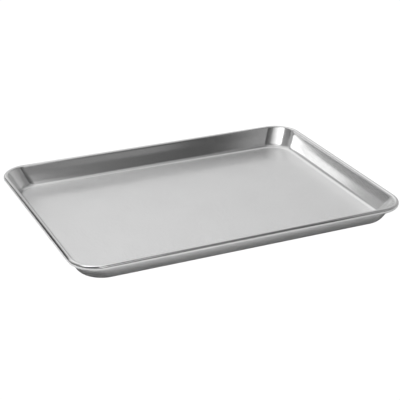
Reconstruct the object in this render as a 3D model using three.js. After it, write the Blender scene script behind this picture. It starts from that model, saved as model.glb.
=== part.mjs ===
// A half-size sheet pan: one sheet of aluminium, drawn into a shallow tray with sloping walls,
// its edge curled over and round a ring of steel wire that keeps the rim straight in the oven.
// Millimetres, +Z up. The origin is on the table, under the middle of the floor; +X runs along the pan.
import * as THREE from "three";

// Overall size, to the outside of the rolled rim
const RIM_LENGTH = 455;
const RIM_WIDTH = 328;
const PAN_HEIGHT = 28;
const RIM_CORNER_RADIUS = 37;

// Drawn sheet: its thickness, the flat floor, and the cove that joins the floor to the walls
const SHEET_THICKNESS = 1.0;
const FLOOR_INSET = 24; // from the rim's outer edge to the edge of the flat floor
const FLOOR_CORNER_RADIUS = 25;
const COVE_RADIUS = 9.5; // on the side that holds the food

// Rim: the wire, the room it has in the curl, and the slit left under the curl's free edge
const WIRE_DIAMETER = 4.4;
const WIRE_CLEARANCE = 0.3;
const WIRE_BUTT_GAP = 1.5; // between the wire's two ends
const LIP_GAP = 0.5; // between the sheet's free edge and the wall

// Facets of the round stretches
const CORNER_STEPS = 12;
const COVE_STEPS = 6;
const WALL_STEPS = 4;
const CURL_STEPS = 20;
const WIRE_SIDES = 12;

// Finishes
const MILL_ALUMINIUM = { color: 0xc9cacb, roughness: 0.35, metalness: 1.0 };
const GALVANISED_STEEL = { color: 0x9a9fa3, roughness: 0.5, metalness: 1.0 };

// A point of the cross-section is a Vector2: x is its inset from the rim's outer edge towards the
// middle of the pan, and y its height above the table.
const wireRadius = WIRE_DIAMETER / 2;
const curlInside = wireRadius + WIRE_CLEARANCE;
const curlOutside = curlInside + SHEET_THICKNESS;
const curlCentre = new THREE.Vector2(curlOutside, PAN_HEIGHT - curlOutside);
const coveCentre = new THREE.Vector2(FLOOR_INSET, SHEET_THICKNESS + COVE_RADIUS);

// The wall's inner face is the straight line that touches the curl on one side and the cove on the
// other. Its lean is the angle between the wall and the vertical.
function wallLean() {
  const across = coveCentre.clone().sub(curlCentre);
  const reach = Math.acos((curlOutside + COVE_RADIUS) / across.length());
  return Math.atan2(across.y, across.x) + reach;
}

// A point of the section at an angle on a circle
function onCircle(centre, radius, angle) {
  return new THREE.Vector2(Math.cos(angle), Math.sin(angle)).multiplyScalar(radius).add(centre);
}

// The sheet's section, as stations from the floor's edge to the free edge under the rim. A station
// holds a point of the inner face, the way that face looks, and the inset of the corners' centres.
function sheetStations() {
  const lean = wallLean();
  const wallFacing = new THREE.Vector2(Math.cos(lean), Math.sin(lean));
  const wallFoot = onCircle(coveCentre, COVE_RADIUS, lean - Math.PI);
  const wallTop = onCircle(curlCentre, curlOutside, lean);
  const lipAngle = lean + 2 * Math.PI - Math.acos((curlInside - LIP_GAP) / curlOutside);

  // The corners widen evenly from the floor to the rim
  const cornerInset = (height) => {
    const below = (wallTop.y - height) / (wallTop.y - SHEET_THICKNESS);
    return THREE.MathUtils.lerp(RIM_CORNER_RADIUS, FLOOR_INSET + FLOOR_CORNER_RADIUS, below);
  };

  const stations = [];
  for (let i = 0; i <= COVE_STEPS; i++) {
    const angle = THREE.MathUtils.lerp(-Math.PI / 2, lean - Math.PI, i / COVE_STEPS);
    const point = onCircle(coveCentre, COVE_RADIUS, angle);
    const facing = coveCentre.clone().sub(point).normalize();
    stations.push({ point, facing, corner: cornerInset(point.y) });
  }
  for (let i = 1; i < WALL_STEPS; i++) {
    const point = wallFoot.clone().lerp(wallTop, i / WALL_STEPS);
    stations.push({ point, facing: wallFacing, corner: cornerInset(point.y) });
  }
  for (let i = 0; i <= CURL_STEPS; i++) {
    const angle = THREE.MathUtils.lerp(lean, lipAngle, i / CURL_STEPS);
    const point = onCircle(curlCentre, curlOutside, angle);
    const facing = point.clone().sub(curlCentre).normalize();
    stations.push({ point, facing, corner: RIM_CORNER_RADIUS });
  }
  return stations;
}

// A section point carried round the pan: a rounded rectangle, anticlockwise from above, that starts
// at the front end of the back right corner. corner is the inset of the corners' centres.
function roundedRing(point, corner) {
  const ring = [];
  const radius = corner - point.x;
  const quarters = [[1, 1], [-1, 1], [-1, -1], [1, -1]];
  quarters.forEach(([sideX, sideY], quarter) => {
    const centreX = sideX * (RIM_LENGTH / 2 - corner);
    const centreY = sideY * (RIM_WIDTH / 2 - corner);
    for (let i = 0; i <= CORNER_STEPS; i++) {
      const angle = (quarter + i / CORNER_STEPS) * (Math.PI / 2);
      const x = centreX + radius * Math.cos(angle);
      const y = centreY + radius * Math.sin(angle);
      ring.push(new THREE.Vector3(x, y, point.y));
    }
  });
  return ring;
}

// A closed skin over loops of equal count, with a flat cap on the first loop and on the last.
// outline is the shape of both caps, anticlockwise as the first cap is seen from outside.
function loft(loops, outline) {
  const count = loops[0].length;
  const last = (loops.length - 1) * count;
  const triangles = [];
  for (let start = 0; start < last; start += count) {
    for (let j = 0; j < count; j++) {
      const a = start + j;
      const b = start + ((j + 1) % count);
      triangles.push(a, a + count, b + count, a, b + count, b);
    }
  }
  for (const [a, b, c] of THREE.ShapeUtils.triangulateShape(outline, [])) {
    triangles.push(a, b, c);
    triangles.push(last + a, last + c, last + b);
  }
  const geometry = new THREE.BufferGeometry().setFromPoints(loops.flat());
  geometry.setIndex(triangles);
  geometry.computeVertexNormals();
  return geometry;
}

function namedMesh(name, geometry, finish) {
  const mesh = new THREE.Mesh(geometry, new THREE.MeshStandardMaterial(finish));
  mesh.name = name;
  return mesh;
}

// Drawn aluminium sheet: the floor, cove, walls and the curl round the wire are one piece of metal
function panBody() {
  const stations = sheetStations();
  const innerFace = stations.map(({ point, corner }) => roundedRing(point, corner));
  const outerFace = stations.map(({ point, facing, corner }) => {
    const behind = point.clone().addScaledVector(facing, -SHEET_THICKNESS);
    return roundedRing(behind, corner);
  });
  const floorOutline = innerFace[0].map(({ x, y }) => new THREE.Vector2(x, y));
  return namedMesh("pan_body", loft([...innerFace, ...outerFace.reverse()], floorOutline), MILL_ALUMINIUM);
}

// Galvanised steel wire bent into a ring inside the curl. Its ends butt in the middle of the back.
function rimWire() {
  const middle = new THREE.Vector2();
  const section = [];
  for (let i = 0; i < WIRE_SIDES; i++) {
    section.push(onCircle(middle, wireRadius, (i / WIRE_SIDES) * 2 * Math.PI));
  }

  // One line along the wire for each corner of its section, from the left end round to the right end
  const backLeftCorner = CORNER_STEPS + 1;
  const lines = section.map(({ x: outwards, y: upwards }) => {
    const point = new THREE.Vector2(curlCentre.x - outwards, curlCentre.y + upwards);
    const ring = roundedRing(point, RIM_CORNER_RADIUS);
    const back = RIM_WIDTH / 2 - point.x;
    return [
      new THREE.Vector3(-WIRE_BUTT_GAP / 2, back, point.y),
      ...ring.slice(backLeftCorner),
      ...ring.slice(0, backLeftCorner),
      new THREE.Vector3(WIRE_BUTT_GAP / 2, back, point.y),
    ];
  });
  const loops = lines[0].map((_, step) => lines.map((line) => line[step]));
  return namedMesh("rim_wire", loft(loops, section), GALVANISED_STEEL);
}

const pan = new THREE.Group();
pan.add(panBody(), rimWire());

export default pan;
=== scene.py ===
import math

import bmesh
import bpy
from mathutils import Matrix, Vector


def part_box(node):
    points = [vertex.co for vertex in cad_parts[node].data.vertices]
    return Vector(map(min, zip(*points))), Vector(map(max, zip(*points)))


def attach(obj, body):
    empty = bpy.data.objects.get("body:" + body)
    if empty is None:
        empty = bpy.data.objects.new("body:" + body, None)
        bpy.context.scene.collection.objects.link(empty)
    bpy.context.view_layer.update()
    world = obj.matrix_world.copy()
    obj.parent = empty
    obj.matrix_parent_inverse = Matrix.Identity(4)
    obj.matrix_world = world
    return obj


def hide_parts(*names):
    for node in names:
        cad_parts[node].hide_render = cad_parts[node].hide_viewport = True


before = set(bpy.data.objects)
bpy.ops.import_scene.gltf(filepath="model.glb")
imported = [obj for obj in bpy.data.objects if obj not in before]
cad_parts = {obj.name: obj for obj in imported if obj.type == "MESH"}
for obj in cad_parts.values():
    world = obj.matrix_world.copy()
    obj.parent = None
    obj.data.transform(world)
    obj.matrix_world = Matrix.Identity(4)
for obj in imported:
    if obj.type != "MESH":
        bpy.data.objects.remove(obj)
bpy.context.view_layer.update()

# Pan: one blank of 1 mm aluminium sheet, drawn by a punch into a shallow tray. The floor, the cove, the
# sloping walls and the rolled rim are the same piece of metal. The floor keeps the satin of the rolling
# mill, and the walls are brighter, because the die rubs them smooth.
MM = 0.001
SHEET = 1.0 * MM
RIM_CORNER = 37 * MM  # radius of the rim's corners, on the outside
FLOOR_INSET = 24 * MM  # from the rim's outer edge to the edge of the flat floor
FLOOR_CORNER = 25 * MM  # radius of the flat floor's corners
COVE = 9.5 * MM  # radius between floor and wall
CURL = 3.5 * MM  # outer radius of the rolled rim
LIP_TURN = math.radians(305)  # how far the sheet rolls round the wire
FLOOR_MARGIN = 1.5 * MM  # strip along the floor's edge that keeps the floor's shading flat
WALL_BEND = 0.4 * MM  # how far the wall bows out half way up, where the die lets the metal spring back
BEND_SPREAD = 0.35  # how much of the wall's height the bow takes to turn
COVE_STEPS = 14
WALL_CUTS = 15
CURL_STEPS = 36
CORNER_STEPS = 24
MERGE = 0.01 * MM  # points nearer than this become one

pan_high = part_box("pan_body")[1]
corner_axis = Vector((pan_high.x - RIM_CORNER, pan_high.y - RIM_CORNER, 0))
cove_centre = Vector((pan_high.x - FLOOR_INSET, corner_axis.y, SHEET + COVE))
curl_centre = Vector((pan_high.x - CURL, corner_axis.y, pan_high.z - CURL))

# The wall follows the straight line that touches both the cove and the curl
across = curl_centre - cove_centre
wall_lean = math.acos((COVE + CURL) / across.length) - math.atan2(across.z, across.x)
wall_top = curl_centre + CURL * Vector((-math.cos(wall_lean), 0, math.sin(wall_lean)))

# The section at the front end of the back right corner: cove, wall and curl
shape = bmesh.new()
floor_edge = shape.verts.new((cove_centre.x, cove_centre.y, SHEET))
cove_turn = math.pi / 2 - wall_lean
cove = bmesh.ops.spin(
    shape, geom=[floor_edge], cent=cove_centre, axis=(0, -1, 0), angle=cove_turn, steps=COVE_STEPS)
wall_foot = [part for part in cove["geom_last"] if isinstance(part, bmesh.types.BMVert)]
wall = bmesh.ops.extrude_vert_indiv(shape, verts=wall_foot)
wall["verts"][0].co = wall_top
bmesh.ops.spin(
    shape, geom=wall["verts"], cent=curl_centre, axis=(0, 1, 0), angle=LIP_TURN, steps=CURL_STEPS)

# The wall, the section's longest line, is cut into short ones and bowed out
wall_line = max(shape.edges, key=lambda edge: edge.calc_length())
wall_ends = [vert.co.copy() for vert in wall_line.verts]
wall_cuts = bmesh.ops.subdivide_edges(shape, edges=[wall_line], cuts=WALL_CUTS)
wall_out = Vector((math.cos(wall_lean), 0, -math.sin(wall_lean)))
bend_end = math.hypot(1, BEND_SPREAD)
for vert in wall_cuts["geom_inner"]:
    if isinstance(vert, bmesh.types.BMVert):
        along = (vert.co - wall_ends[0]).length / (wall_ends[1] - wall_ends[0]).length
        bow = (bend_end - math.hypot(2 * along - 1, BEND_SPREAD)) / (bend_end - BEND_SPREAD)
        vert.co += WALL_BEND * bow * wall_out

# The corner is the section turned about the corner's axis. Below the rim it widens to the floor's corner.
section = shape.edges[:]
corner = bmesh.ops.spin(
    shape, geom=shape.verts[:] + section, cent=corner_axis, axis=(0, 0, 1), angle=math.pi / 2,
    steps=CORNER_STEPS)
far_section = [part for part in corner["geom_last"] if isinstance(part, bmesh.types.BMEdge)]
for vert in shape.verts:
    out_x = vert.co.x - corner_axis.x
    out_y = vert.co.y - corner_axis.y
    turn = math.atan2(out_y, out_x)
    if math.hypot(out_x, out_y) < wall_top.x - corner_axis.x:
        depth = (wall_top.z - vert.co.z) / (wall_top.z - SHEET)
        widening = (FLOOR_INSET + FLOOR_CORNER - RIM_CORNER) * depth
        vert.co.x -= widening * (1 - math.cos(turn))
        vert.co.y -= widening * (1 - math.sin(turn))

# The sides run from the corner to the middle of the pan, and mirrors make the other three quarters
for edges, axis in ((section, 1), (far_section, 0)):
    side = bmesh.ops.extrude_edge_only(shape, edges=edges)
    for part in side["geom"]:
        if isinstance(part, bmesh.types.BMVert):
            part.co[axis] = 0
for axis in "XY":
    whole = shape.verts[:] + shape.edges[:] + shape.faces[:]
    bmesh.ops.mirror(shape, geom=whole, axis=axis, merge_dist=MERGE)

# The floor closes the ring at the foot of the coves, and the skin then gets the sheet's thickness
open_edges = [edge for edge in shape.edges if edge.is_boundary]
floor_ring = [edge for edge in open_edges if max(vert.co.z for vert in edge.verts) < SHEET + MERGE]
floor = bmesh.ops.edgeloop_fill(shape, edges=floor_ring)
bmesh.ops.inset_region(shape, faces=floor["faces"], thickness=FLOOR_MARGIN)
bmesh.ops.remove_doubles(shape, verts=shape.verts, dist=MERGE)
bmesh.ops.recalc_face_normals(shape, faces=shape.faces)
if max(shape.faces, key=lambda face: face.calc_area()).normal.z < 0:
    bmesh.ops.reverse_faces(shape, faces=shape.faces)
bmesh.ops.solidify(shape, geom=shape.faces[:], thickness=SHEET)

SHARP_FOLD = math.radians(40)  # a steeper fold between two faces is a real edge


def finish_piece(name, form):
    """Turns a modelled form into an object, smooth but for its real edges."""
    mesh = bpy.data.meshes.new(name)
    form.to_mesh(mesh)
    form.free()
    mesh.shade_smooth()
    mesh.set_sharp_from_angle(angle=SHARP_FOLD)
    piece = bpy.data.objects.new(name, mesh)
    bpy.context.scene.collection.objects.link(piece)
    return piece


def linear(hex_code):
    """An sRGB colour written as six hex digits, in the linear values that shaders take."""
    channels = [int(hex_code[i:i + 2], 16) / 255 for i in (0, 2, 4)]
    return [c / 12.92 if c <= 0.04045 else ((c + 0.055) / 1.055) ** 2.4 for c in channels] + [1]


def add_node(tree, kind, inputs, **settings):
    """Adds a node. inputs holds a value or the socket that feeds it for each of the node's inputs."""
    node = tree.nodes.new(kind)
    for name, value in settings.items():
        setattr(node, name, value)
    for name, value in inputs.items():
        if isinstance(value, bpy.types.NodeSocket):
            tree.links.new(value, node.inputs[name])
        else:
            node.inputs[name].default_value = value
    return node


# Mill-finish aluminium: a pale neutral metal. The rolls leave fine lines along the sheet, smooth and rough
# ones side by side, so the floor mirrors softly through a haze. The die burnishes the walls and leaves
# faint upright marks and a slight waviness on them.
CLEAN_METAL = linear("f4f4f4")
DULLED_METAL = linear("ececec")
FLOOR_ROUGHNESS = (0.16, 0.60)  # of the smooth and the rough lines
WALL_ROUGHNESS = (0.12, 0.19)  # between the marks and in them
BURNISH_START = 1.1 * MM  # height above the table where the burnish begins, at the foot of the cove
BURNISH_FULL = 1.8 * MM  # height where it is complete
GRAIN_LENGTH = 4 * MM
GRAIN_WIDTH = 0.05 * MM
DRAW_MARK_LENGTH = 40 * MM
DRAW_MARK_WIDTH = 0.3 * MM
SMUDGE_SIZE = 50 * MM
WAVE_LENGTH = 90 * MM
WAVE_HEIGHT = 0.02 * MM
NOISE_DETAIL = 3.0
MARK_EDGES = (0.42, 0.58)  # values of the noise between which smooth metal turns rough

aluminium = bpy.data.materials.new("mill_finish_aluminium")
aluminium.use_nodes = True
tree = aluminium.node_tree
place = add_node(tree, "ShaderNodeTexCoord", {}).outputs["Object"]
height = add_node(tree, "ShaderNodeSeparateXYZ", {"Vector": place}).outputs["Z"]
burnish = add_node(
    tree, "ShaderNodeMapRange", {"Value": height, "From Min": BURNISH_START, "From Max": BURNISH_FULL},
    interpolation_type="SMOOTHSTEP").outputs["Result"]

# Four noises, each stretched to the size of its marks along X, Y and Z
mark_sizes = {
    "grain": (GRAIN_LENGTH, GRAIN_WIDTH, GRAIN_WIDTH),
    "draw_marks": (DRAW_MARK_WIDTH, DRAW_MARK_WIDTH, DRAW_MARK_LENGTH),
    "smudges": (SMUDGE_SIZE, SMUDGE_SIZE, SMUDGE_SIZE),
    "waves": (WAVE_LENGTH, WAVE_LENGTH, 2 * WAVE_LENGTH),
}
marks = {}
for name, sizes in mark_sizes.items():
    scales = [1 / size for size in sizes]
    stretched = add_node(tree, "ShaderNodeMapping", {"Vector": place, "Scale": scales}).outputs["Vector"]
    marks[name] = add_node(
        tree, "ShaderNodeTexNoise",
        {"Vector": stretched, "Scale": 1.0, "Detail": NOISE_DETAIL}).outputs["Fac"]

finishes = []
for name, (smooth, rough) in (("grain", FLOOR_ROUGHNESS), ("draw_marks", WALL_ROUGHNESS)):
    finish = add_node(
        tree, "ShaderNodeMapRange",
        {"Value": marks[name], "From Min": MARK_EDGES[0], "From Max": MARK_EDGES[1],
         "To Min": smooth, "To Max": rough})
    finishes.append(finish.outputs["Result"])
roughness = add_node(tree, "ShaderNodeMix", {0: burnish, 2: finishes[0], 3: finishes[1]}).outputs[0]
colour = add_node(
    tree, "ShaderNodeMix", {0: marks["smudges"], 6: CLEAN_METAL, 7: DULLED_METAL},
    data_type="RGBA").outputs[2]
wall_waves = add_node(
    tree, "ShaderNodeMath", {0: marks["waves"], 1: burnish}, operation="MULTIPLY").outputs["Value"]
wave_bump = add_node(
    tree, "ShaderNodeBump", {"Height": wall_waves, "Distance": WAVE_HEIGHT}).outputs["Normal"]
surface = tree.nodes["Principled BSDF"]
surface.inputs["Metallic"].default_value = 1.0
tree.links.new(colour, surface.inputs["Base Color"])
tree.links.new(roughness, surface.inputs["Roughness"])
tree.links.new(wave_bump, surface.inputs["Normal"])

pan = finish_piece("pan", shape)
pan.data.materials.append(aluminium)
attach(pan, "root")
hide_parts("pan_body")

# Wire: a ring of galvanised steel wire inside the rolled rim, which keeps it straight in the oven. The
# sheet is rolled round it and hides it, but for the slit under the rim's free edge. Its ends butt in the
# middle of the back.
WIRE = 4.4 * MM
BUTT_GAP = 1.5 * MM
WIRE_SIDES = 24

# Half the ring, from the butt at the back round the right end to the middle of the front, and its mirror
wire_shape = bmesh.new()
bmesh.ops.create_circle(wire_shape, segments=WIRE_SIDES, radius=WIRE / 2)
bmesh.ops.rotate(wire_shape, verts=wire_shape.verts, matrix=Matrix.Rotation(math.pi / 2, 3, "Y"))
butt_place = (BUTT_GAP / 2, pan_high.y - CURL, curl_centre.z)
bmesh.ops.translate(wire_shape, verts=wire_shape.verts, vec=butt_place)
wire_end = wire_shape.verts[:] + wire_shape.edges[:]
runs = (
    ((corner_axis.x - BUTT_GAP / 2, 0, 0), corner_axis),
    ((0, -2 * corner_axis.y, 0), (corner_axis.x, -corner_axis.y, 0)))
for run, bend_axis in runs:
    straight = bmesh.ops.spin(wire_shape, geom=wire_end, axis=(0, 0, 1), angle=0, steps=1, dvec=run)
    bend = bmesh.ops.spin(
        wire_shape, geom=straight["geom_last"], cent=bend_axis, axis=(0, 0, -1), angle=math.pi / 2,
        steps=CORNER_STEPS)
    wire_end = bend["geom_last"]
bmesh.ops.spin(wire_shape, geom=wire_end, axis=(0, 0, 1), angle=0, steps=1, dvec=(-corner_axis.x, 0, 0))
half = wire_shape.verts[:] + wire_shape.edges[:] + wire_shape.faces[:]
bmesh.ops.mirror(wire_shape, geom=half, axis="X", merge_dist=MERGE)
bmesh.ops.holes_fill(wire_shape, edges=[edge for edge in wire_shape.edges if edge.is_boundary])
bmesh.ops.remove_doubles(wire_shape, verts=wire_shape.verts, dist=MERGE)
bmesh.ops.recalc_face_normals(wire_shape, faces=wire_shape.faces)

# Galvanised steel: a grey zinc skin, frozen in small crystals that each shine a little differently
ZINC_PALE = linear("b4b8ba")
ZINC_DARK = linear("8e9396")
ZINC_ROUGHNESS = (0.35, 0.55)  # of the palest and the darkest crystals
SPANGLE_SIZE = 2.5 * MM

galvanised = bpy.data.materials.new("galvanised_steel")
galvanised.use_nodes = True
tree = galvanised.node_tree
place = add_node(tree, "ShaderNodeTexCoord", {}).outputs["Object"]
spangle = add_node(
    tree, "ShaderNodeTexVoronoi", {"Vector": place, "Scale": 1 / SPANGLE_SIZE}).outputs["Color"]
shade = add_node(tree, "ShaderNodeSeparateXYZ", {"Vector": spangle}).outputs["X"]
zinc = add_node(
    tree, "ShaderNodeMix", {0: shade, 6: ZINC_PALE, 7: ZINC_DARK}, data_type="RGBA").outputs[2]
dullness = add_node(
    tree, "ShaderNodeMapRange",
    {"Value": shade, "To Min": ZINC_ROUGHNESS[0], "To Max": ZINC_ROUGHNESS[1]}).outputs["Result"]
surface = tree.nodes["Principled BSDF"]
surface.inputs["Metallic"].default_value = 1.0
tree.links.new(zinc, surface.inputs["Base Color"])
tree.links.new(dullness, surface.inputs["Roughness"])

wire = finish_piece("wire", wire_shape)
wire.data.materials.append(galvanised)
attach(wire, "root")
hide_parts("rim_wire")

# Table: a plain pale sweep. The picture's ground is pure white, and the metal mirrors the pale grey that a
# matt white surface has under this light, so it is two sheets at almost the same place.
TABLE_SIZE = 12.0
TABLE_DROP = 0.2 * MM  # keeps the two sheets clear of the pan's base and of each other
GROUND_GLOW = 1.05  # a little over white, so that the ground stays pure white
PAPER_ROUGHNESS = 0.9


def matt_sheet(name, width, height, turn, place, colour, glow):
    """A flat sheet of one matt colour that may glow. It lies flat before it is turned."""
    sheet = bmesh.new()
    bmesh.ops.create_grid(sheet, x_segments=1, y_segments=1, size=0.5)
    bmesh.ops.scale(sheet, verts=sheet.verts, vec=(width, height, 1))
    bmesh.ops.rotate(sheet, verts=sheet.verts, matrix=turn)
    bmesh.ops.translate(sheet, verts=sheet.verts, vec=place)
    piece = finish_piece(name, sheet)
    paper = bpy.data.materials.new(name)
    paper.use_nodes = True
    matt = paper.node_tree.nodes["Principled BSDF"]
    matt.inputs["Base Color"].default_value = linear(colour)
    matt.inputs["Roughness"].default_value = PAPER_ROUGHNESS
    matt.inputs["Specular IOR Level"].default_value = 0.0
    matt.inputs["Emission Color"].default_value = linear("ffffff")
    matt.inputs["Emission Strength"].default_value = glow
    piece.data.materials.append(paper)
    return piece


flat = Matrix.Identity(3)
seen_table = matt_sheet(
    "white_ground", TABLE_SIZE, TABLE_SIZE, flat, (0, 0, -TABLE_DROP), colour="000000", glow=GROUND_GLOW)
seen_table.visible_diffuse = False
seen_table.visible_glossy = False
seen_table.visible_shadow = False
mirrored_table = matt_sheet(
    "mirrored_ground", TABLE_SIZE, TABLE_SIZE, flat, (0, 0, -2 * TABLE_DROP), colour="d7d7d7", glow=0.0)
mirrored_table.visible_camera = False

# Light: a dim room, paler overhead, with a bright backdrop behind the pan and a fill light over the table.
# Glowing and dark cards stand and hang round the pan, each placed for the stretch of metal that mirrors it.
# Sizes and places are in metres.
ROOM_LEVEL = 0.08
CEILING_LEVEL = 0.31  # added straight overhead
BACKDROP_LEVEL = 0.635  # added where the backdrop is brightest
BACKDROP_WAY = Vector((0.02, 0.83, 0.55))
BACKDROP_EDGE = 0.585  # cosine of the angle from the backdrop's middle to its edge

room = bpy.data.worlds.new("room")
room.use_nodes = True
bpy.context.scene.world = room
tree = room.node_tree
way = add_node(tree, "ShaderNodeTexCoord", {}).outputs["Generated"]
facing = add_node(
    tree, "ShaderNodeVectorMath", {0: way, 1: BACKDROP_WAY.normalized()},
    operation="DOT_PRODUCT").outputs["Value"]
backdrop = add_node(
    tree, "ShaderNodeMapRange",
    {"Value": facing, "From Min": BACKDROP_EDGE,
     "To Min": ROOM_LEVEL, "To Max": ROOM_LEVEL + BACKDROP_LEVEL})
upwards = add_node(tree, "ShaderNodeSeparateXYZ", {"Vector": way}).outputs["Z"]
ceiling = add_node(tree, "ShaderNodeMapRange", {"Value": upwards, "To Max": CEILING_LEVEL})
level = add_node(
    tree, "ShaderNodeMath", {0: backdrop.outputs["Result"], 1: ceiling.outputs["Result"]}).outputs["Value"]
tree.links.new(level, tree.nodes["Background"].inputs["Strength"])
tree.nodes["Background"].inputs["Color"].default_value = linear("ffffff")


def studio_card(name, width, height, turn, place, glow=0.0):
    """A black card with an even glow, which the camera doesn't see and which throws no shadow."""
    card = matt_sheet(name, width, height, turn, place, colour="000000", glow=glow)
    card.visible_camera = False
    card.visible_shadow = False
    return card


def fade_glow(card, axis, places, levels):
    """Makes a card's glow run from one level to another between two places along an axis."""
    tree = card.active_material.node_tree
    spot = add_node(tree, "ShaderNodeTexCoord", {}).outputs["Object"]
    along = add_node(tree, "ShaderNodeSeparateXYZ", {"Vector": spot}).outputs[axis]
    level = add_node(
        tree, "ShaderNodeMapRange",
        {"Value": along, "From Min": places[0], "From Max": places[1],
         "To Min": levels[0], "To Max": levels[1]})
    tree.links.new(level.outputs["Result"], tree.nodes["Principled BSDF"].inputs["Emission Strength"])


upright = Matrix.Rotation(math.pi / 2, 3, "X")
sideways = Matrix.Rotation(math.pi / 2, 3, "Z") @ upright

# The soft box hangs in front on the left. It faces the pan's far right corner, which mirrors it, from a
# spot below the box's middle.
far_corner = Vector((0.2, 0.13, 0.02))
box_spot = Vector((-0.17, -0.34, 0.56))
box_roll = Matrix.Rotation(math.radians(18), 3, "Z")
box_turn = (far_corner - box_spot).to_track_quat("Z", "Y").to_matrix() @ box_roll
box_place = box_spot + box_turn @ Vector((0, 0.20, 0))
soft_box = studio_card("soft_box", width=0.84, height=0.98, turn=box_turn, place=box_place)
fade_glow(soft_box, "X", places=(-0.45, 0.20), levels=(1.9, 0.15))

# The right wall mirrors the left board, and the far left corner mirrors the right one. In the far right
# corner the panel fills the gap between the soft box and the left board.
left_roll = Matrix.Rotation(math.radians(-12), 3, "Z")
left_turn = Matrix.Rotation(math.radians(111.7), 3, "Z") @ upright @ left_roll
left_board = studio_card("left_board", width=1.0, height=0.34, turn=left_turn, place=(-0.90, 1.40, 0.45))
fade_glow(left_board, "Y", places=(1.05, 1.25), levels=(0.0, 1.3))
studio_card("left_panel", width=0.30, height=0.40, turn=sideways, place=(-0.62, 0.62, 0.38), glow=0.45)
right_board = studio_card("right_board", width=2.4, height=0.8, turn=sideways, place=(1.3, -0.1, 0.45))
fade_glow(right_board, "Y", places=(-1.2, 0.3), levels=(0.2, 0.46))

# The far wall mirrors a dark card that leans over the front, and two paler ones beside it and below it
front_lean = Matrix.Rotation(math.radians(60), 3, "X")
front_card = studio_card("front_card", width=0.52, height=1.28, turn=front_lean, place=(0.36, -0.775, 0.55))
fade_glow(front_card, "X", places=(0.10, 0.62), levels=(0.22, 0.035))
studio_card("front_panel", width=0.24, height=0.60, turn=upright, place=(0.74, -0.775, 0.36), glow=0.35)
studio_card("low_card", width=0.28, height=0.42, turn=upright, place=(0.33, -0.85, 0.21), glow=0.25)

# The cove below the far wall mirrors two cards overhead
studio_card("overhead_card", width=0.40, height=0.35, turn=flat, place=(-0.02, 0.2, 1.0), glow=0.85)
top_card = studio_card("top_card", width=0.8, height=0.6, turn=flat, place=(0.45, -0.1, 1.0))
fade_glow(top_card, "X", places=(0.28, 0.58), levels=(0.52, 0.20))

# Dark cards draw the dark lines along the rim, at the near left corner and on the left
studio_card("flag", width=0.12, height=0.10, turn=flat, place=(-0.13, -0.27, 0.26), glow=0.03)
studio_card("corner_flag", width=0.17, height=0.10, turn=flat, place=(-0.285, -0.23, 0.14), glow=0.03)
studio_card("rim_card", width=0.30, height=0.28, turn=upright, place=(-0.47, 0.45, 0.24), glow=0.03)

# Grey cards dim the foot of the right wall and its near end
veil_turn = Matrix.Rotation(math.radians(34), 3, "Z") @ upright
studio_card("gap_card", width=0.32, height=0.30, turn=upright, place=(-0.205, 0.775, 0.53), glow=0.38)
studio_card("veil_card", width=0.08, height=0.16, turn=veil_turn, place=(-0.145, 0.35, 0.18), glow=0.45)

# The fill light falls on the table, and the metal doesn't mirror it
fill_lamp = bpy.data.lights.new("fill_light", "AREA")
fill_lamp.size = 0.5
fill_lamp.energy = 8.0
fill_light = bpy.data.objects.new("fill_light", fill_lamp)
fill_light.location = (-0.45, -0.45, 1.0)
fill_light.visible_camera = False
fill_light.visible_glossy = False
bpy.context.scene.collection.objects.link(fill_light)

# Camera: a long lens in front on the left, looking down into the pan. Its angles and its distance were
# fitted to the edges of the rim, the base and the floor.
VIEW_AZIMUTH = math.radians(-25.535)
VIEW_ELEVATION = math.radians(24.529)
VIEW_ROLL = math.radians(0.839)
VIEW_DISTANCE = 1.5229
VIEW_AIM = Vector((4.47, 1.01, 6.20)) * MM
SENSOR_WIDTH = 36  # this and the lens are in the camera's own millimetres
LENS = 101.91

view_turn = (
    Matrix.Rotation(VIEW_AZIMUTH, 4, "Z")
    @ Matrix.Rotation(math.pi / 2 - VIEW_ELEVATION, 4, "X")
    @ Matrix.Rotation(VIEW_ROLL, 4, "Z"))
view_back = Matrix.Translation((0, 0, VIEW_DISTANCE))
camera = bpy.data.objects.new("camera", bpy.data.cameras.new("camera"))
camera.data.sensor_width = SENSOR_WIDTH
camera.data.lens = LENS
camera.matrix_world = Matrix.Translation(VIEW_AIM) @ view_turn @ view_back
bpy.context.scene.collection.objects.link(camera)
bpy.context.scene.camera = camera
bpy.context.scene.view_settings.view_transform = "Standard"
